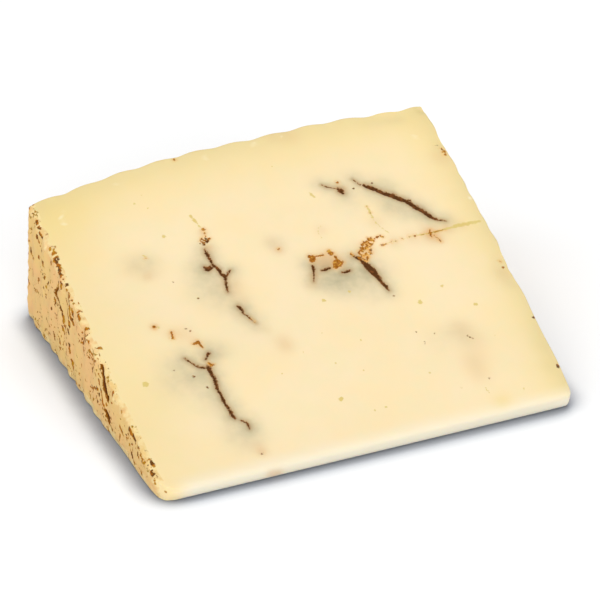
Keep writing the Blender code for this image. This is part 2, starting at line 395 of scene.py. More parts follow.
# %% Orange crumbs
CRUMBLED_BAND = (
    (371.4, 239.4, 0.9), (368.4, 244, 1.1), (366.6, 249, 1.3), (365, 254, 1.5), (364, 258.6, 1.4),
)
SQUARE_CHUNKS = (
    ((309.6, 256.4, 0.45), (313.2, 257, 0.5), (312.6, 260.4, 0.6), (310.4, 260.2, 0.35)),
    ((329, 251.2, 0.45), (331.6, 253.6, 0.5)),
    ((335.6, 266.6, 0.6), (336.4, 261.4, 0.62), (341.8, 262, 0.35), (338.8, 265, 0.6)),
    ((335.2, 256.4, 0.18), (336.4, 259.4, 0.2)), ((316, 256.2, 0.14), (323, 255, 0.12)),
)
STAR = (
    ((430.1, 229.6, 0.06), (430.4, 233, 0.3), (431.2, 236.6, 0.14)),
    ((425, 233.9, 0.04), (430, 232.8, 0.2), (436, 231.4, 0.06)),
    ((433.4, 235.2, 0.14), (437, 237.8, 0.1), (441.4, 241.6, 0.1)),
    ((421, 234.8, -0.02), (428, 233.4, 0.12), (436, 231.6, 0.12), (446, 229.4, -0.02)),
)
CRACK = (
    ((377, 237.2, 0.2), (380, 235.8, 0.17), (382.8, 236.8, 0.16)),
    ((382, 245.4, 0.22), (386, 244, 0.1)), ((350.8, 253.4, 0.24), (352.6, 255.4, 0.2)),
)
FRONT_CRUMBS = (
    ((194.4, 344, 0.34), (198.4, 342.2, 0.4), (200, 344.6, 0.3), (202.4, 347.2, 0.18)),
    ((208.4, 362.6, 0.16), (211, 365.2, 0.34), (213.6, 364.6, 0.16)),
    ((171.4, 331.6, 0.12), (172, 335, 0.14), (172.7, 338, 0.32)),
)
CRUMB_DOTS = (
    (154.4, 327.1, 0.4), (203.3, 229.5, 0.34), (204.6, 233, 0.12), (209.1, 238.5, 0.28),
    (201.6, 238.8, 0.22), (337.6, 182.4, 0.3), (174.6, 159.6, 0.24), (500.6, 259.8, 0.16),
    (414.8, 235.8, 0.2), (396, 240.9, 0.12), (391.3, 241.9, 0.12), (402, 238.8, 0.05),
    (409, 236.8, 0.05), (278.7, 249.3, 0.22), (145.8, 258.2, 0.12), (370.2, 212.8, 0.1),
    (367, 206.4, 0.06), (251, 318.8, 0.05), (255, 321.6, 0.08), (444, 151.8, 0.38),
    (441.8, 147.8, 0.14), (445.2, 154.6, 0.24),
)
CRUMBS = (*SQUARE_CHUNKS, *STAR, *CRACK, *FRONT_CRUMBS)
PIXELS_PER_MM = 4.3               # in the picture, about
draw = random.Random(11)          # one fixed run of chance, so that every run gives the same


def strewn(route, count, smallest, largest):
    """Small dots strewn along a route and across its width."""
    dots = []
    for _ in range(count):
        start, end = draw.choice(list(zip(route, route[1:])))
        part = draw.random()
        px, py, half = (a + (b - a) * part for a, b in zip(start, end))
        reach = half * PIXELS_PER_MM
        size = draw.uniform(smallest, largest)
        dots.append((px + draw.uniform(-reach, reach), py + draw.uniform(-reach, reach) / 2, size))
    return dots


CRUMB_DOTS += (*strewn(CRUMBLED_BAND, 48, 0.13, 0.38), *strewn(RING, 9, 0.08, 0.20))
TRUFFLE_DOTS += (*strewn(RING, 16, 0.08, 0.24), *strewn(CRUMBLED_BAND[1:], 14, 0.06, 0.20))
BAND_HEART = tuple((px, py, half - 0.5) for px, py, half in CRUMBLED_BAND)
print("crumbs:", len(CRUMBS), "routes and", len(CRUMB_DOTS), "dots")

# %% Yellow cracks and flecks
YELLOW_CRACK = (
    (480, 221.2, 0.3), (468, 223.6, 0.56), (458, 225.6, 0.6), (452, 227.4, 0.34), (442, 230.4, 0.26),
    (436, 231.6, 0.38), (426, 234, 0.34), (417, 235.4, 0.2), (408, 237.6, 0.04), (396, 241.6, 0.06),
    (386, 243.6, 0.12), (376, 247, 0.02),
)
THIN_CRACK = (
    (366.8, 205.7, 0.2), (370.4, 212.9, 0.28), (372.4, 217.4, 0.22), (375.5, 222.6, 0.15),
    (381.6, 227.7, 0.16), (388.8, 232.8, 0.08),
)
SQUIGGLE = ((321.9, 225.6, 0.1), (317.9, 228.6, 0.06), (318.4, 233.3, 0.08), (321.9, 237.4, 0.1))
YELLOW_STREAK = ((190.6, 216.4, 0.4), (193.4, 219.4, 0.4), (197, 224, 0.24), (200.6, 228, 0.12))
YELLOW_CURL = ((309.2, 193.2, 0.28), (312.2, 194.6, 0.4), (314, 197, 0.24))
FRONT_FLECK = ((485.6, 387.6, 0.2), (487.4, 390.4, 0.2), (489.4, 393, 0.1))
YELLOW = (YELLOW_CRACK, THIN_CRACK, SQUIGGLE, YELLOW_STREAK, YELLOW_CURL, FRONT_FLECK)
YELLOW_DOTS = (
    (143.6, 255.6, 0.3), (145.4, 384, 0.8), (164, 236.6, 0.46), (420.4, 302.2, 0.55), (475.5, 304, 0.5),
    (324, 300.6, 0.5), (349, 291.4, 0.4), (442.3, 285.8, 0.4), (141, 195, 0.26), (134.4, 204, 0.26),
    (148, 208, 0.22), (272, 166, 0.24), (282, 373.7, 0.22), (361, 340, 0.24), (335.5, 363, 0.26),
    (340.6, 399, 0.6), (386, 407, 0.26), (375, 410.5, 0.24), (430, 373, 0.26), (461, 388, 0.24),
    (524, 388.6, 0.3), (495, 335, 0.22), (159, 327.6, 0.26), (144.6, 256.6, 0.26), (198.4, 298.3, 0.16),
    (322, 333, 0.2), (303, 352, 0.22), (363.5, 370, 0.2),
)
print("yellow:", len(YELLOW), "routes and", len(YELLOW_DOTS), "dots")

# %% [markdown]
# ## Stains
#
# Truffle bleeds: the paste beside a slice turns grey-green where the slice runs on just below
# the surface, and tan where it is old. These are soft clouds, so each is only a centre, a
# radius in millimetres and a strength from 0 to 1.

# %% Clouds of stain
GREY_CLOUDS = (
    (328, 266, 3, 0.7), (342, 270, 3, 0.65), (354, 264, 2.4, 0.55), (362, 272, 2.2, 0.6),
    (370, 282, 2.2, 0.45), (314, 264, 2.2, 0.4), (318, 280, 2.6, 0.45), (335, 283, 3.6, 0.6),
    (352, 284, 3.6, 0.48), (304, 262, 3, 0.12), (386, 270, 3, 0.15), (372, 296, 2.6, 0.2),
    (404, 211, 3.2, 0.38), (426, 217, 2.6, 0.36), (384, 186, 2.6, 0.34), (352, 200, 4, 0.15),
    (388, 206, 2.6, 0.36), (202, 262, 2.6, 0.3), (198, 272, 3.2, 0.28), (211, 280, 2.6, 0.3),
    (204, 290, 4, 0.22), (216, 296, 3.6, 0.2), (245, 312, 2.4, 0.25), (225, 306, 3.4, 0.15),
    (134, 266, 3.4, 0.2), (146, 262, 3, 0.22), (152, 270, 3, 0.12), (204, 374, 2.6, 0.35),
    (198, 362, 2.6, 0.3), (212, 390, 2.4, 0.2), (208, 400, 4, 0.2), (230, 408, 3.4, 0.15),
    (238, 430, 4, 0.28), (246, 440, 4, 0.22), (192, 378, 3.6, 0.3), (176, 384, 4.6, 0.25),
    (178, 366, 4.2, 0.22), (212, 350, 2.6, 0.35), (222, 352, 3, 0.15), (276, 244, 2.2, 0.3),
    (456, 330, 2.6, 0.2), (466, 336, 2.6, 0.15), (440, 338, 3.6, 0.12),
)
TAN_CLOUDS = (
    (232, 284, 2.8, 0.25), (238, 297, 2.8, 0.2), (208.5, 247.5, 1.2, 0.5), (203, 233, 1.2, 0.5),
    (271, 242, 1.8, 0.25), (279, 250, 1.4, 0.45), (286, 346, 2, 0.3), (282, 340, 2, 0.2),
    (172, 334, 1.6, 0.4), (184, 334, 2.4, 0.25), (196, 342, 1.6, 0.4), (154.4, 327, 1.2, 0.5),
    (261.6, 452, 1.2, 0.5), (258, 446, 1.6, 0.3), (322, 262, 2.2, 0.6), (314, 276, 1.4, 0.45),
    (313, 285, 1.4, 0.3), (262, 327, 1.4, 0.18), (268, 331, 1.2, 0.14), (341, 190, 1.5, 0.5),
    (338, 262, 2, 0.6), (366, 250, 2.2, 0.6), (431, 234, 2.2, 0.85), (412, 237, 2, 0.25),
    (394, 241.5, 1.8, 0.3), (448, 228.6, 1.6, 0.35), (462, 225, 1.6, 0.22), (438, 239, 1.6, 0.4),
    (147, 277, 1.3, 0.35), (140, 268, 3.6, 0.12), (472, 342, 4, 0.22), (474, 362, 3, 0.28),
    (480, 374, 2.6, 0.2), (462, 328, 2.4, 0.22), (330, 256, 2.4, 0.45), (271, 474, 1.3, 0.45),
    (278, 473, 1.3, 0.5), (376, 222, 2, 0.25), (321, 230, 1.6, 0.2), (288, 135, 2.8, 0.24),
    (272, 137, 1.8, 0.18), (441, 157, 2.6, 0.28), (503, 273, 2.6, 0.2), (42, 207, 2, 0.1),
)
DRY_CLOUDS = (
    (44, 206, 7, 0.55), (70, 200, 10, 0.25), (60, 240, 8, 0.25), (152, 400, 9, 0.2),
    (518, 415, 1.2, 0.8), (526, 414, 1.4, 0.9), (538, 411, 1, 0.6), (503, 403, 2.4, 0.6),
)
OLIVE_CLOUDS = (
    (545, 345, 3, 0.4), (552, 366, 2.6, 0.45), (538, 330, 3, 0.25), (424, 116, 5, 0.1),
)
WHITE_CLOUDS = (
    (470, 198, 0.35, 0.9), (61, 218, 0.35, 0.8), (64, 223.4, 0.4, 0.6), (254, 144, 0.5, 0.7),
    (204, 158, 0.45, 0.7), (118, 184, 0.35, 0.7), (282, 137, 0.3, 0.6), (415, 137, 0.4, 0.5),
    (65, 211.6, 0.35, 0.5),
)
WORN_RIM = (                      # the rear and right rims are worn lower here
    (374, 117, 2.2, 0.6), (386, 116, 2, 0.8), (397, 114.5, 1.9, 1), (421.5, 109.5, 1.2, 0.9),
    (503, 257, 2.4, 0.8), (507, 267, 2.6, 1), (512, 278, 2.4, 0.8), (441, 142, 2, 0.6),
)
print("clouds:", len(GREY_CLOUDS) + len(TAN_CLOUDS) + len(DRY_CLOUDS) + len(OLIVE_CLOUDS))

# %% [markdown]
# ## The marks of the rind
#
# The basket mould leaves folds and slits in the rind, some of them dark inside, and the rind is
# dotted with brown and orange bits where truffle meets the outside. A fold is painted brown, and
# shade is painted into it, darkest along its middle.

# %% Slits and streaks that the picture shows
SLITS = (
    ((57.8, 288.6, 0.3), (56.8, 295, 1.1), (58.4, 300.6, 0.9), (61, 310.6, 0.5)),
    ((101.2, 366, 0.36), (102.6, 374, 0.9), (104.6, 386, 0.95), (107.6, 399, 0.55)),
    ((105.6, 411, 0.46), (107.4, 416, 0.8), (109.8, 422.6, 0.7), (111.8, 429, 0.46)),
    ((54, 332.6, 0.2), (54.6, 338.6, 0.3)),
)
STREAKS = (
    ((36.4, 220.5, 0.2), (37, 223.5, 0.28)), ((39.4, 232.6, 0.2), (41, 235, 0.28)),
    ((41.4, 236.4, 0.24), (42.6, 238, 0.14)), ((36.4, 235.6, 0.25), (37, 238, 0.25)),
    ((38.6, 240.4, 0.3), (39, 242.4, 0.25)), ((50, 247.6, 0.15), (50.4, 249.6, 0.2)),
    ((55, 246.6, 0.02), (53.4, 251, 0.16), (53.2, 254.4, 0.26)),
    ((54.4, 258.6, 0.24), (54.8, 260.8, 0.34), (56, 263.4, 0.18)),
    ((51, 261.4, 0.3), (50.2, 263.4, 0.25)), ((43.2, 262, 0.3), (43.6, 266, 0.3)),
    ((38.2, 256.6, 0.22), (38.4, 258.6, 0.22)), ((57.4, 264, 0.2), (60.2, 268.4, 0.22)),
    ((59.4, 268.4, 0.22), (60.6, 277, 0.18)), ((61, 283.6, 0.35), (61.4, 287.4, 0.3)),
    ((57.8, 283, 0.2), (58, 286.4, 0.2)), ((68.4, 294.6, 0.28), (68.6, 297, 0.28)),
    ((68.2, 300, 0.35), (68.6, 302.6, 0.25)), ((72, 308, 0.15), (73.2, 316, 0.18)),
    ((69.4, 306.4, 0.3), (70.4, 314, 0.38), (71.8, 320, 0.3)),
    ((72.6, 321.6, 0.35), (73.6, 324.4, 0.35)), ((67, 309, 0.2), (68.6, 318, 0.24)),
    ((68.8, 320.6, 0.22), (69.4, 326.4, 0.2)), ((63.4, 317, 0.3), (64.4, 320.4, 0.22)),
    ((68.4, 329.6, 0.28), (69, 333.6, 0.2)), ((79.2, 316.4, 0.1), (79.6, 321, 0.2)),
    ((84.8, 336.6, 0.24), (86, 340, 0.28)), ((85.4, 331.4, 0.1), (85.6, 335, 0.18)),
    ((96.6, 348.4, 0.1), (99.6, 348.2, 0.28), (103.2, 349, 0.04)),
    ((92, 356, 0.2), (93, 358.4, 0.32), (95, 361, 0.15)),
    ((73, 364.4, 0.25), (73.6, 368.6, 0.28)), ((96.8, 397, 0.25), (97.8, 401.4, 0.25)),
    ((101, 389.6, 0.25), (102.4, 398, 0.4), (104.6, 406, 0.28)),
    ((90.8, 396.4, 0.28), (91.6, 400.4, 0.22)), ((92.6, 386, 0.24), (93.2, 390, 0.2)),
    ((121.4, 428.8, 0.3), (122.2, 432, 0.45), (123.4, 435.6, 0.28)),
    ((119.6, 434.4, 0.15), (120, 437, 0.2)), ((129.6, 428.4, 0.18), (131.4, 434, 0.4)),
    ((132.4, 435.6, 0.4), (134.2, 439.4, 0.45)), ((130, 450, 0.22), (132.4, 457, 0.24)),
    ((151, 461.4, 0.08), (152.6, 464, 0.3), (154.6, 466.6, 0.14)),
    ((151.2, 471.4, 0.2), (151.8, 475, 0.1)), ((112.6, 392.6, 0.25), (112.8, 395.6, 0.15)),
    ((31, 248, 0.08), (31.6, 254, 0.12), (34, 260, 0.08)),
    ((141.2, 453.3, 0.12), (142.6, 459, 0.2), (143.8, 465, 0.18)),
    ((68.6, 344, 0.15), (69.6, 349, 0.36), (69.8, 353.4, 0.2)),
    ((66, 333.6, 0.2), (66.6, 336.4, 0.26)), ((66.2, 343.6, 0.28), (66.8, 346.6, 0.2)),
    ((59.6, 339.6, 0.28), (60.4, 343.2, 0.2)),
    ((61.8, 313.6, 0.36), (62.8, 318, 0.3), (63.6, 323, 0.22)),
    ((58.8, 347.8, 0.16), (60.6, 348.8, 0.24)),
    ((98.6, 379.6, 0.08), (100.4, 386.6, 0.2), (101.8, 394, 0.22)),
    ((71.2, 360.4, 0.24), (72.8, 365, 0.3)), ((108, 398.6, 0.3), (108.6, 401.6, 0.28)),
    ((62.8, 326, 0.22), (63.4, 331, 0.26), (64, 334, 0.14)),
)
STREAK_DOTS = (
    (165.7, 491.8, 0.16), (155.3, 483, 0.18), (66.7, 285, 0.26), (44.5, 277.5, 0.34),
    (48.7, 283.3, 0.28), (73.7, 342, 0.32), (66.4, 337.6, 0.2), (84, 347.5, 0.26),
    (77.3, 355.8, 0.2), (43.7, 288, 0.22), (42.8, 295.8, 0.2), (112.6, 402.6, 0.18),
    (122, 411.7, 0.16), (124.5, 425.8, 0.16), (33, 213.4, 0.05), (33.4, 216.8, 0.05),
    (534, 317.6, 0.22), (558, 366, 0.34), (504, 266, 0.22),
)
FLECKED_BANDS = (                 # where small bits crowd in the rind, and how many
    (((38, 226, 0.4), (42, 242, 0.8), (46, 262, 1)), 7),
    (((54, 250, 0.3), (58, 268, 0.7), (67, 300, 1.2), (74, 332, 0.9)), 26),
    (((76, 306, 0.5), (82, 322, 0.8), (92, 345, 0.6)), 6),
    (((40, 262, 1.2), (54, 300, 1.6), (64, 334, 1.2)), 34),
    (((78, 326, 1), (90, 352, 1.2), (98, 376, 1)), 26),
    (((94, 384, 0.8), (101, 402, 1.2), (110, 422, 0.8)), 22),
    (((120, 424, 0.6), (128, 438, 1.2), (136, 448, 0.8)), 12),
    (((138, 452, 0.6), (148, 468, 1), (156, 480, 0.6)), 12),
)
for band, count in FLECKED_BANDS:
    STREAK_DOTS += tuple(strewn(band, count, 0.05, 0.32))
LEAN = math.radians(56.0)         # the marks lean this far down from the tip's direction
print("slits and streaks:", len(SLITS), len(STREAKS))

# %% [markdown]
# ## Distance to the nearest mark
#
# The same trick serves every mark: for each vertex, how far inside the mark does it lie, in
# millimetres? The number is above 0 inside, 0 at the edge and below 0 outside. Stored on the
# vertices it carries sharp edges between cells, because a distance changes evenly from one
# vertex to the next.

# %% Depth inside a route, for all places at once
FAR_OUTSIDE = -20.0               # millimetres
SMALLEST_SQUARE = 0.001           # of a step; a route of one point has a step of no length


def measured(what):
    """A row for each vertex ("co") or face ("center" or "normal") of the wedge, places in mm."""
    items = wedge.data.vertices if what == "co" else wedge.data.polygons
    rows = np.empty(len(items) * 3, np.float32)
    items.foreach_get(what, rows)
    return rows.reshape(-1, 3) / (1.0 if what == "normal" else MM)


def seen(routes, dots=()):
    """Routes read off the picture, as places on the wedge in millimetres with half widths."""
    return [
        [(np.array(on_wedge(px, py)) / MM, half) for px, py, half in route]
        for route in (*routes, *[(dot,) for dot in dots])
    ]


def depth_inside(places, routes):
    """How far inside the nearest route each place lies, in millimetres."""
    deepest = np.full(len(places), FAR_OUTSIDE, np.float32)
    for route in routes:
        for (start, start_half), (end, end_half) in zip(route, route[1:] or route):
            run = end - start
            part = np.clip((places - start) @ run / max(run @ run, SMALLEST_SQUARE), 0.0, 1.0)
            away = np.linalg.norm(places - start - part[:, None] * run, axis=1)
            deepest = np.maximum(deepest, start_half + (end_half - start_half) * part - away)
    return deepest


def cloud_strength(places, clouds):
    """How strongly the soft clouds cover each place, from 0 to 1."""
    clear = np.ones(len(places), np.float32)
    for px, py, radius, strongest in clouds:
        away = np.linalg.norm(places - np.array(on_wedge(px, py)) / MM, axis=1)
        clear *= 1.0 - strongest * np.exp(-((away / radius) ** 2))
    return 1.0 - clear


truffle_routes = seen(TRUFFLE)
truffle_specks = seen((), TRUFFLE_DOTS)
crumb_routes = seen(CRUMBS, CRUMB_DOTS)
yellow_routes = seen(YELLOW, YELLOW_DOTS)
slit_routes = seen(SLITS)
streak_routes = seen(STREAKS, STREAK_DOTS)
band_heart = seen((BAND_HEART,))
print("marks on the wedge:", len(truffle_routes) + len(crumb_routes) + len(yellow_routes))

# %% [markdown]
# ## The sides that the picture doesn't show
#
# The right end and the round back carry rind too, so they get slits and streaks of the same size
# and lean as the left end. They are placed by chance with a fixed seed: start somewhere on a
# hidden rind face, go a few millimetres along the lean, and pull both ends onto the surface.

# %% Slits and streaks by chance
FACING = 0.62                     # a face looks some way if its normal has this much of it
HIDDEN_SLITS = 9
HIDDEN_STREAKS = 190
SLIT_SIZES = (3.0, 9.0, 0.3, 0.7)      # millimetres: shortest, longest, least and most half width
STREAK_SIZES = (0.2, 3.0, 0.1, 0.5)
BELOW_RIM = 2.0                   # millimetres that the marks keep from the upper edge


def distance_to(places, targets):
    """Distance from each place to the nearest target, in the same unit."""
    tree = KDTree(len(targets))
    for index, target in enumerate(targets):
        tree.insert(target, index)
    tree.balance()
    return np.array([tree.find(place)[2] for place in places], np.float32)


centres = measured("center")
normals = measured("normal")
away = normals @ np.array(to_camera) < 0.0
hidden = centres[away & (normals[:, :2].max(axis=1) > FACING)]
hidden = hidden[distance_to(hidden, centres[normals[:, 2] > FACING]) > BELOW_RIM]
lean_down = np.array((0.0, -math.cos(LEAN), -math.sin(LEAN)))
print("hidden rind faces:", len(hidden))


def leaning_route(shortest, longest, thinnest, thickest):
    """A route of three points on a hidden side, widest in its middle."""
    start = hidden[draw.randrange(len(hidden))]
    length = draw.uniform(shortest, longest)
    half = draw.uniform(thinnest, thickest)
    route = []
    for part, width in ((0.0, 0.4), (0.5, 1.0), (1.0, 0.5)):
        aim = Vector(start + lean_down * length * part) * MM
        route.append((np.array(wedge.closest_point_on_mesh(aim)[1]) / MM, half * width))
    return route


slit_routes += [leaning_route(*SLIT_SIZES) for _ in range(HIDDEN_SLITS)]
streak_routes += [leaning_route(*STREAK_SIZES) for _ in range(HIDDEN_STREAKS)]
print("slits and streaks on all sides:", len(slit_routes), len(streak_routes))

# %% [markdown]
# ## Finer cells where they count
#
# The copied furrows are only as fine as the solid's cells. They are smoothed away first, as a
# finger would, and cut again later at their real width. Then cells are spent where they show:
# the rind and the edges are divided once, the surroundings of every mark once or twice, and the
# truffle once more, down to an eighth of a millimetre, so that single crumbs can stand up.

# %% Smooth the upper cut face, then divide
FACES_UP = 0.85
SMOOTHED_FROM_EDGE = 3.0          # millimetres
SMOOTH_ROUNDS = 10
EDGE_WIDTH = 1.5                  # millimetres of paste beside the rind that is divided too
ROUND_PASTE_MARKS = 1.3           # millimetres round a mark in the paste, divided once
ROUND_ALL_MARKS = 0.4             # and round every mark, once more
ROUND_TRUFFLE = 0.3               # and round truffle and crumbs, once more


def divide(chosen, smoothness=0.0):
    """Divides the chosen faces of the wedge once."""
    edit_selected(wedge, lambda face: chosen[face.index])
    bpy.ops.mesh.subdivide(number_cuts=1, smoothness=smoothness)
    bpy.ops.object.mode_set(mode="OBJECT")
    print("faces divided:", int(chosen.sum()), "faces now:", len(wedge.data.polygons))


normals = measured("normal")
centres = measured("center")
sides = (normals[:, 2] < FACES_UP) & (normals[:, 2] > FACES_DOWN)
from_side = distance_to(centres, centres[sides])
inner = (normals[:, 2] > FACES_UP) & (from_side > SMOOTHED_FROM_EDGE)
edit_selected(wedge, lambda face: inner[face.index])
bpy.ops.mesh.vertices_smooth(factor=0.5, repeat=SMOOTH_ROUNDS)
bpy.ops.object.mode_set(mode="OBJECT")

divide((normals[:, 2] > FACES_DOWN) & (from_side < EDGE_WIDTH), smoothness=1.0)
in_paste = (*truffle_routes, *truffle_specks, *crumb_routes, *yellow_routes)
in_rind = (*slit_routes, *streak_routes)
divide(depth_inside(measured("center"), in_paste) > -ROUND_PASTE_MARKS)
divide(depth_inside(measured("center"), (*in_paste, *in_rind)) > -ROUND_ALL_MARKS)
divide(depth_inside(measured("center"), (*truffle_routes, *crumb_routes)) > -ROUND_TRUFFLE)

# %% [markdown]
# ## Writing the marks onto the vertices
#
# Each kind of mark becomes a named number on the vertices, which the materials read later. One
# more number says how deep a place lies in the rind: above 0 in the rind, below 0 in the paste,
# so roughness and specks can change with the distance from the cut. Stains from 0 to 1 gather
# the clouds, the halo along the slices, and the edges that have dried.

# %% Which faces are rind
TIP_GAP = 3.0                     # the blunt tip has no rind, nor has this much beside it
ENDS_BEGIN, BACK_BEGINS = 35.0, 20.0       # millimetres from the middle; no rind nearer than this
LEFT_LAP = 1.1                    # the rind rolls this far over the left edge
BACK_FACES = 0.85                 # on the round back only a face this steep is rind


def is_rind():
    """Which faces are rind: the two ends and the round back, and not the blunt tip."""
    normals = measured("normal")
    centres = measured("center")
    behind_tip = centres[:, 1] - cad_low.y / MM
    ends = (np.abs(normals[:, 0]) > FACING) & (np.abs(centres[:, 0]) > ENDS_BEGIN)
    back = (normals[:, 1] > BACK_FACES) & (centres[:, 1] > BACK_BEGINS)
    ends &= behind_tip > TIP_GAP
    over_edge = distance_to(centres, centres[ends & (centres[:, 0] < 0.0)]) < LEFT_LAP
    return ends | back | (over_edge & (behind_tip > TIP_GAP) & (normals[:, 2] > 0.0))


rind_faces = is_rind()
print("share of rind faces:", round(float(rind_faces.mean()), 3))

# %% Marks as attributes
HALO, HALO_REACH = 0.47, 2.4      # strength, and millimetres from a slice of truffle
BLEED, BLEED_REACH = 0.62, 0.75   # the brown bleed right beside it
FRINGE, FRINGE_REACH = 0.45, 0.5  # the orange fringe round a crumb
BAND_FRINGE = 0.85                # and in the crumbled band
DRY_EDGES = (                     # the way an edge faces, millimetres it reaches in, strength
    ((-1.0, 0.0, 0.0), 12.0, 0.42), ((0.0, 1.0, 0.0), 13.0, 0.48), ((1.0, 0.0, 0.0), 9.0, 0.42),
)
OLIVE_EDGES = (
    ((-1.0, 0.0, 0.0), 1.5, 0.14), ((0.0, 1.0, 0.0), 5.0, 0.58), ((1.0, 0.0, 0.0), 3.5, 0.58),
)
LIES_FLAT = 0.05                  # a place this low, in millimetres, is on the underside


def near(away, reach, strongest):
    """A strength that fades out over a reach."""
    return strongest * np.exp(-((away / reach) ** 2))


def dried(places, clouds, edges):
    """How dry each place is, from 0 to 1, by its clouds and by the edges near it."""
    moist = 1.0 - cloud_strength(places, clouds)
    for direction, reach, strongest in edges:
        facing = measured("normal") @ np.array(direction) > FACING
        edge = measured("center")[facing & rind_faces]
        moist *= 1.0 - near(distance_to(places, edge), reach, strongest)
    return 1.0 - moist


places = measured("co")
slices = depth_inside(places, truffle_routes)
truffle = np.maximum(slices, depth_inside(places, truffle_specks))
crumb = depth_inside(places, crumb_routes)
slit = depth_inside(places, slit_routes)
rind_depth = (
    distance_to(places, measured("center")[~rind_faces])
    - distance_to(places, measured("center")[rind_faces])
)
halo = near(np.minimum(slices, 0.0), HALO_REACH, HALO)
bleed = near(np.minimum(slices, 0.0), BLEED_REACH, BLEED)
fringe = np.maximum(
    near(np.minimum(crumb, 0.0), FRINGE_REACH, FRINGE),
    near(np.minimum(depth_inside(places, band_heart), 0.0), FRINGE_REACH, BAND_FRINGE),
)
NUMBERS = {
    "truffle": truffle,
    "crumb": crumb,
    "yellow": depth_inside(places, yellow_routes),
    "slit": slit,
    "streak": depth_inside(places, streak_routes),
    "rind_depth": rind_depth,
    "grey_stain": 1.0 - (1.0 - cloud_strength(places, GREY_CLOUDS)) * (1.0 - halo),
    "tan_stain": cloud_strength(places, TAN_CLOUDS),
    "bleed": bleed,
    "fringe": fringe,
    "dry": dried(places, DRY_CLOUDS, DRY_EDGES),
    "olive": dried(places, OLIVE_CLOUDS, OLIVE_EDGES),
    "white_spot": cloud_strength(places, WHITE_CLOUDS),
    "underneath": places[:, 2] < LIES_FLAT,
}
for name, values in NUMBERS.items():
    made = wedge.data.attributes.new(name, "FLOAT", "POINT")
    made.data.foreach_set("value", np.asarray(values, np.float32))
print("numbers on each vertex:", *NUMBERS)

# %% [markdown]
# ## Relief
#
# The knife drags truffle out of the surface, so slices lie a quarter of a millimetre low with
# crumbs standing in them. The paste is almost smooth. The rind is pitted and rough. Displace
# modifiers do this as a sculptor would with a mask: a vertex group says where, and a cloud
# texture says how much. Short stretches of the rims are worn lower. At the foot the rind may only
# move sideways, so the underside stays flat.

# %% Masks
SOFT_EDGE = 0.20                  # millimetres on both sides of a mark's edge
SKIN_EDGE = 1.5                   # millimetres from the cut to where rind or paste is fully rough
OFF_FLOOR = 1.0                   # millimetres above the floor where the relief is full


def group(piece, name, weights):
    """A vertex group from an array of weights."""
    made = piece.vertex_groups.new(name=name)
    for index in np.nonzero(weights > 0.0)[0]:
        made.add([int(index)], float(weights[index]), "REPLACE")


def ramp(values, low, high):
    """0 at low, 1 at high and straight between."""
    return np.clip((values - low) / (high - low), 0.0, 1.0)


free = ramp(places[:, 2], 0.0, OFF_FLOOR)
group(wedge, "sunk", free * ramp(truffle, -SOFT_EDGE, SOFT_EDGE))
group(wedge, "crumbly", free * ramp(np.maximum(truffle, crumb), -SOFT_EDGE, SOFT_EDGE))
group(wedge, "worn", cloud_strength(places, WORN_RIM))
group(wedge, "slits", free * ramp(slit, -SOFT_EDGE, SOFT_EDGE))
group(wedge, "rind", ramp(rind_depth, 0.0, SKIN_EDGE))
group(wedge, "paste", free * ramp(-rind_depth, 0.0, SKIN_EDGE))
print("vertex groups:", [made.name for made in wedge.vertex_groups])

# %% Displacements
CLOUD_MIDDLE = 0.5                # where a cloud is this bright the surface stays in place


def roughen(mask, height, grain, depth=2):
    """Pushes the masked surface in and out by a cloud pattern."""
    pattern = bpy.data.textures.new(mask + "_pattern", "CLOUDS")
    pattern.noise_scale = grain
    pattern.noise_depth = depth
    apply_modifier(
        wedge, "DISPLACE", texture=pattern, texture_coords="LOCAL", strength=height,
        mid_level=CLOUD_MIDDLE, vertex_group=mask,
    )


def sink(mask, height):
    """Lowers the masked surface evenly."""
    apply_modifier(wedge, "DISPLACE", strength=-height, mid_level=0.0, vertex_group=mask)


sink("worn", 0.70 * MM)
sink("sunk", 0.25 * MM)
sink("slits", 0.30 * MM)
roughen("crumbly", 0.60 * MM, 0.40 * MM, depth=3)
roughen("rind", 0.9 * MM, 3.2 * MM)
roughen("rind", 0.45 * MM, 0.9 * MM)
roughen("paste", 0.10 * MM, 5.0 * MM)
wedge.vertex_groups.clear()
moved = measured("co")
moved[:, 2] = places[:, 2] + (moved[:, 2] - places[:, 2]) * free
wedge.data.vertices.foreach_set("co", moved.ravel() * MM)
wedge.data.shade_smooth()
print("triangles:", sum(len(face.vertices) - 2 for face in wedge.data.polygons))

# %% [markdown]
# ## How a mark looks
#
# A mark is painted where its stored depth is above 0. Its edge would be as smooth as a pen line,
# so a little noise of two sizes is added to the depth and lets the edge wander, as the edge of a
# crumbling slice does. Patches and grains of colour come from cloudy patterns of a real size.

# %% Edges that wander, patches and three tones
SOFT = 0.10                       # millimetres, half the width of a mark's soft edge
RAGGED = ((0.7 * MM, 0.15), (0.3 * MM, 0.10))   # the edge wanders in such steps, so far in mm
MIDDLE = (0.3, 0.7)               # nearly all of a cloudy pattern lies between these values
SOFTLY = (0.35, 0.65)             # patches that run into each other without an edge


def inside(tree, name):
    """The stored depth inside a kind of mark, with an edge that wanders."""
    return wandering(tree, add(tree, STORED, attribute_name=name))


def wandering(tree, depth):
    """A depth with an edge that wanders."""
    for size, far in RAGGED:
        wander = add(tree, EVEN, lumps(tree, size, 1.0), *MIDDLE, -far, far)
        depth = add(tree, PLUS, depth, wander)
    return depth


def patched(tree, colour, patch, pattern, low, high, most=1.0):
    """A colour with patches of another where a pattern rises from low to high."""
    return add(tree, BLEND, add(tree, FADE, pattern, low, high, 0.0, most), colour, patch)


def three_tones(tree, pattern, tones, steps):
    """Three tones in turn as a pattern rises, with a change at each pair of steps."""
    two = patched(tree, tones[0], tones[1], pattern, *steps[:2])
    return patched(tree, two, tones[2], pattern, *steps[2:])


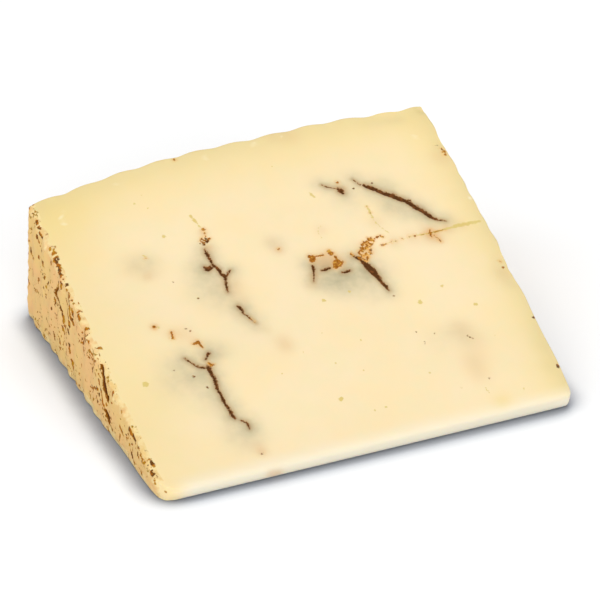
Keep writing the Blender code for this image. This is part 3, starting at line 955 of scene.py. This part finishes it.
print("edges wander by up to", round(sum(far for _, far in RAGGED), 2), "mm")

# %% Streaks, on the rind and where they reach over its edge
STREAK_TONES = (linear("#5A3002"), linear("#A05A04"), linear("#AA7A10"))   # brown, orange, gold
STREAK_STEPS = (0.42, 0.50, 0.53, 0.60)
RIND_GROWN = 0.17                 # marks of the rind show this much wider than they were read


def streaked(tree, colour):
    """Streaks laid over a colour, from brown to gold."""
    depth = add(tree, PLUS, inside(tree, "streak"), RIND_GROWN)
    tone = lumps(tree, 1.5 * MM, 3.0, shift=6.0)
    streak = three_tones(tree, tone, STREAK_TONES, STREAK_STEPS)
    return patched(tree, colour, streak, depth, -SOFT, SOFT, 0.95)


print("streaks show", RIND_GROWN, "mm wider on each side than they were read")

# %% [markdown]
# ## Paste, cut with a knife
#
# Firm sheep cheese is ivory, slightly translucent and slightly waxy. Light goes about a
# millimetre in and comes out warmer, which subsurface scattering gives, and the knife leaves a
# satin surface, so the roughness is middling and the gloss weak. The paste is yellower and
# darker under the rind, where it has dried, and whiter at the tip; the lightest white at the
# very foot of the tip is painted light from the paper. The grey-green and tan clouds are stains
# round the truffle.

# %% Paste with its dry edges, its pale tip with a painted lit foot, and its stains
PASTE = linear("#E9D6AF")
PASTE_WARM = linear("#EAD5A9")
PASTE_COOL = linear("#E6D6AC")
PASTE_DRY = linear("#E2CA83")
PASTE_OLIVE = linear("#D6C48D")
PASTE_PALE = linear("#E1D9C3")
# painted light: the very foot of the tip is painted lighter, as the paper lights it from below
FOOT_PAINTED_LIGHT = linear("#F6F1E2")
STAIN_GREY = linear("#B3A988")
STAIN_TAN = linear("#CFA878")
BLEED_BROWN = linear("#A88A60")
FRINGE_ORANGE = linear("#DDA24A")
NICK_WHITE = linear("#F0E8CC")
LIT_FOOT = 1.4 * MM               # light from the paper is painted onto the very foot of the tip, this far up
PALE_FOOT = 2.0 * MM              # the tip is pale this near its lower edge
PALE_ENDS = 6.5 * MM              # and no longer pale this far from it
PALE_STARTS = (-48 * MM, -42 * MM)         # its left corner is not pale
UNDER_HALO = 2.5                  # millimetres that grey reaches from a slice in the underside


def pale_footed(tree, colour):
    """A colour that turns pale towards the lower edge of the tip, with painted light at the very foot.
    """
    sideways, back, up = add(tree, APART, add(tree, PLACE)).node.outputs
    behind = add(tree, MINUS, back, cad_low.y)
    from_foot = add(tree, LENGTH, add(tree, TOGETHER, behind, up))
    near_foot = add(tree, FADE, from_foot, PALE_ENDS, PALE_FOOT)
    pale = add(tree, TIMES, near_foot, add(tree, FADE, sideways, *PALE_STARTS))
    pale_with_painted_lit_foot = patched(tree, FOOT_PAINTED_LIGHT, PASTE_PALE, from_foot, 0.0, LIT_FOOT)
    return add(tree, BLEND, pale, colour, pale_with_painted_lit_foot)


def stained_paste(tree, hidden_depth):
    """The colour of the paste before any mark, given the depth of slices in the underside."""
    colour = patched(tree, PASTE, PASTE_WARM, lumps(tree, 14 * MM), *SOFTLY)
    cool = lumps(tree, 5 * MM, 4.0, shift=6.0)
    colour = patched(tree, colour, PASTE_COOL, cool, 0.42, 0.66, 0.6)
    for name, stain in (("dry", PASTE_DRY), ("olive", PASTE_OLIVE)):
        colour = add(tree, BLEND, add(tree, STORED, attribute_name=name), colour, stain)
    colour = pale_footed(tree, colour)
    uneven = add(tree, EVEN, lumps(tree, 3 * MM, 3.0, shift=8.0), *MIDDLE, 0.7, 1.3)
    grey = add(tree, TIMES, add(tree, STORED, attribute_name="grey_stain"), uneven)
    under_halo = add(tree, FADE, hidden_depth, -UNDER_HALO, 0.0, 0.0, 0.5)
    colour = add(tree, BLEND, add(tree, LARGER, grey, under_halo), colour, STAIN_GREY)
    for name, stain in (("tan_stain", STAIN_TAN), ("bleed", BLEED_BROWN)):
        colour = add(tree, BLEND, add(tree, STORED, attribute_name=name), colour, stain)
    patchy = add(tree, FADE, lumps(tree, 0.8 * MM, 2.0, shift=2.0), 0.40, 0.56, 0.35, 1.0)
    fringe = add(tree, TIMES, add(tree, STORED, attribute_name="fringe"), patchy)
    colour = add(tree, BLEND, fringe, colour, FRINGE_ORANGE)
    return add(tree, BLEND, add(tree, STORED, attribute_name="white_spot"), colour, NICK_WHITE)


print("paste as light:", [round(part, 2) for part in PASTE[:3]])

# %% Slices of truffle in the underside
PATH_LUMPS = 26 * MM              # a slice runs along the middle value of a pattern this coarse
THICK_LUMPS = 8 * MM              # and grows thick and thin in steps of this size
MM_PER_VALUE = 16.0               # the pattern changes by 1 over about so many millimetres
THINNEST, THICKEST = -0.02, 0.035      # half of a slice in such values; below 0 there is no slice


def under_slices(tree):
    """Depth inside slices that run through the underside by chance, in millimetres."""
    path = lumps(tree, PATH_LUMPS, 1.0, shift=0.3)
    beside = add(tree, UNSIGNED, add(tree, MINUS, path, 0.5))
    lump = lumps(tree, THICK_LUMPS, 1.0, shift=0.6)
    thick = add(tree, FADE, lump, 0.50, 0.75, THINNEST, THICKEST)
    depth = add(tree, TIMES, add(tree, MINUS, thick, beside), MM_PER_VALUE)
    underneath = add(tree, STORED, attribute_name="underneath")
    return add(tree, PLUS, depth, add(tree, EVEN, underneath, 0.0, 1.0, FAR_OUTSIDE, 0.0))


print("a slice in the underside is up to", round(2 * THICKEST * MM_PER_VALUE, 1), "mm thick")

# %% Truffle, crumbs and flecks in the paste
TRUFFLE_BLACK = linear("#522E08")
TRUFFLE_RUST = linear("#784419")
TRUFFLE_EDGE = linear("#8E6236")
CRUMB_TONES = (linear("#8A5005"), linear("#A4681E"), linear("#C8963C"))   # brown, orange, yellow
CRUMB_STEPS = (0.40, 0.46, 0.56, 0.62)
FLECK_YELLOW = linear("#D1BB70")
FLECK_OLIVE = linear("#D0B96A")
GROWN = 0.10                      # truffle shows this much wider than it was read
EDGE_DEPTH = 0.22                 # millimetres from a slice's brown edge to its black core


def marked_paste(tree):
    """The colour of the paste with flecks, truffle and crumbs, and how much of it they cover."""
    hidden_depth = under_slices(tree)
    colour = streaked(tree, stained_paste(tree, hidden_depth))
    fleck = patched(tree, FLECK_YELLOW, FLECK_OLIVE, lumps(tree, 9 * MM, shift=4.0), 0.46, 0.54)
    colour = patched(tree, colour, fleck, inside(tree, "yellow"), -SOFT, 2 * SOFT, 0.9)
    depth = add(tree, LARGER, add(tree, STORED, attribute_name="truffle"), hidden_depth)
    depth = add(tree, PLUS, wandering(tree, depth), GROWN)
    rust = lumps(tree, 0.9 * MM, 3.0, shift=3.0)
    core = patched(tree, TRUFFLE_BLACK, TRUFFLE_RUST, rust, 0.50, 0.62, 0.8)
    dark = patched(tree, TRUFFLE_EDGE, core, depth, 0.0, EDGE_DEPTH)
    covered = add(tree, FADE, depth, -1.8 * SOFT, 1.8 * SOFT)
    colour = add(tree, BLEND, covered, colour, dark)
    crumbs = three_tones(tree, lumps(tree, 0.7 * MM, 3.0, shift=7.0), CRUMB_TONES, CRUMB_STEPS)
    here = add(tree, FADE, inside(tree, "crumb"), -1.6 * SOFT, 0.8 * SOFT)
    return add(tree, BLEND, here, colour, crumbs), add(tree, LARGER, covered, here)


print("truffle shows", GROWN, "mm wider on each side than it was read")

# %% Paste material
paste, paste_tree, paste_shader = new_material("sheep_cheese_paste_knife_cut")
paste_colour, paste_covered = marked_paste(paste_tree)
dull = add(paste_tree, FADE, paste_covered, 0.0, 1.0, 0.50, 0.90)      # truffle is matt
lets_light_in = add(paste_tree, FADE, paste_covered, 0.0, 1.0, 0.35, 0.0)      # and opaque
fill(paste_tree, paste_shader, {
    "Base Color": paste_colour,
    "Roughness": dull,
    "Subsurface Weight": lets_light_in,
    "Subsurface Radius": (1.0, 0.6, 0.3),
    "Subsurface Scale": 1.2 * MM,
    "IOR": 1.45,
    "Specular IOR Level": 0.25,
})
print("paste nodes:", len(paste_tree.nodes))

# %% [markdown]
# ## Rind, printed by a basket mould
#
# The rind is the same paste, dried and browned, so it is tan and matt and lets hardly any light
# in. Brown, orange and olive specks lean steeply down towards the tip, folds are brown with shade
# painted dark inside them, and the specks crowd near the upper edge, where the knife has torn the
# rind and paler paste shows through.

# %% Rind with its torn rim, specks, streaks and folds
RIND = linear("#DBB978")
RIND_PEACH = linear("#DDB27A")
RIND_OLIVE = linear("#D8B67A")
RIND_TORN = linear("#E5CF98")
SPECK_TONES = (linear("#967010"), linear("#A46404"), linear("#7C4802"))   # olive, orange, brown
SPECK_STEPS = (0.42, 0.48, 0.52, 0.60)
SPECKS = ((0.8 * MM, 0.675, 1.0), (1.3 * MM, 0.69, 4.0))   # size, how rare, and a shift
# a fold's own brown, and the painted shade that darkens its middle
FOLD_BROWN = linear("#8A5410")
FOLD_PAINTED_SHADE = linear("#562C08")
TORN_RIM = 2.2                    # millimetres below the edge where the knife tore the rind
TORN_BY = 1.4                     # millimetres by which the torn line wanders
SPECKLED_RIM = 9.0                # millimetres below the edge where specks crowd


def specked(tree, colour, crowd):
    """Specks laid over a colour, more of them where the crowd is larger."""
    speck = three_tones(tree, lumps(tree, 2.4 * MM, shift=5.0), SPECK_TONES, SPECK_STEPS)
    for size, rare, shift in SPECKS:
        pattern = add(tree, PLUS, lumps(tree, size, 2.0, 1.4, LEAN, shift), crowd)
        colour = patched(tree, colour, speck, pattern, rare, rare + 0.06, 0.9)
    return colour


def marked_rind(tree):
    """The colour of the rind, with its specks, streaks and folds, shade painted dark inside them."""
    colour = patched(tree, RIND, RIND_PEACH, lumps(tree, 9 * MM), *SOFTLY)
    colour = patched(tree, colour, RIND_OLIVE, lumps(tree, 4 * MM, 3.0, shift=2.0), 0.45, 0.70)
    rim = add(tree, STORED, attribute_name="rind_depth")
    ragged = add(tree, EVEN, lumps(tree, 1.6 * MM, 3.0, shift=4.0), *MIDDLE, -TORN_BY, TORN_BY)
    colour = patched(tree, colour, RIND_TORN, add(tree, PLUS, rim, ragged), TORN_RIM, -0.6)
    crowd = add(tree, FADE, lumps(tree, 6 * MM, 2.0, shift=9.0), *SOFTLY, -0.05, 0.08)
    crowd = add(tree, PLUS, crowd, add(tree, FADE, rim, SPECKLED_RIM, 1.0, 0.0, 0.02))
    colour = streaked(tree, specked(tree, colour, crowd))
    fold = add(tree, PLUS, inside(tree, "slit"), RIND_GROWN)
    # painted shade: a fold darkens from its own brown towards its middle
    dark = patched(tree, FOLD_BROWN, FOLD_PAINTED_SHADE, fold, 0.08, 0.70)
    return patched(tree, colour, dark, fold, -SOFT, SOFT)


print("specks crowd within", SPECKLED_RIM, "mm of the rim")

# %% Rind material
rind, rind_tree, rind_shader = new_material("sheep_cheese_rind_basket_moulded")
fill(rind_tree, rind_shader, {
    "Base Color": marked_rind(rind_tree),
    "Roughness": 0.8,
    "Subsurface Weight": 0.08,
    "Subsurface Radius": (1.0, 0.55, 0.25),
    "Subsurface Scale": 0.8 * MM,
    "Specular IOR Level": 0.05,
})
print("rind nodes:", len(rind_tree.nodes))

# %% Paint the faces
wedge.data.materials.append(paste)
wedge.data.materials.append(rind)
wedge.data.polygons.foreach_set("material_index", rind_faces.astype(np.int32))
wedge.data.update()
print("faces of paste and of rind:", int((~rind_faces).sum()), int(rind_faces.sum()))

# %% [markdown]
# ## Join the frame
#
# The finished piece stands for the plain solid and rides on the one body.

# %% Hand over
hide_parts("cheese_wedge")
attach(wedge, "root")
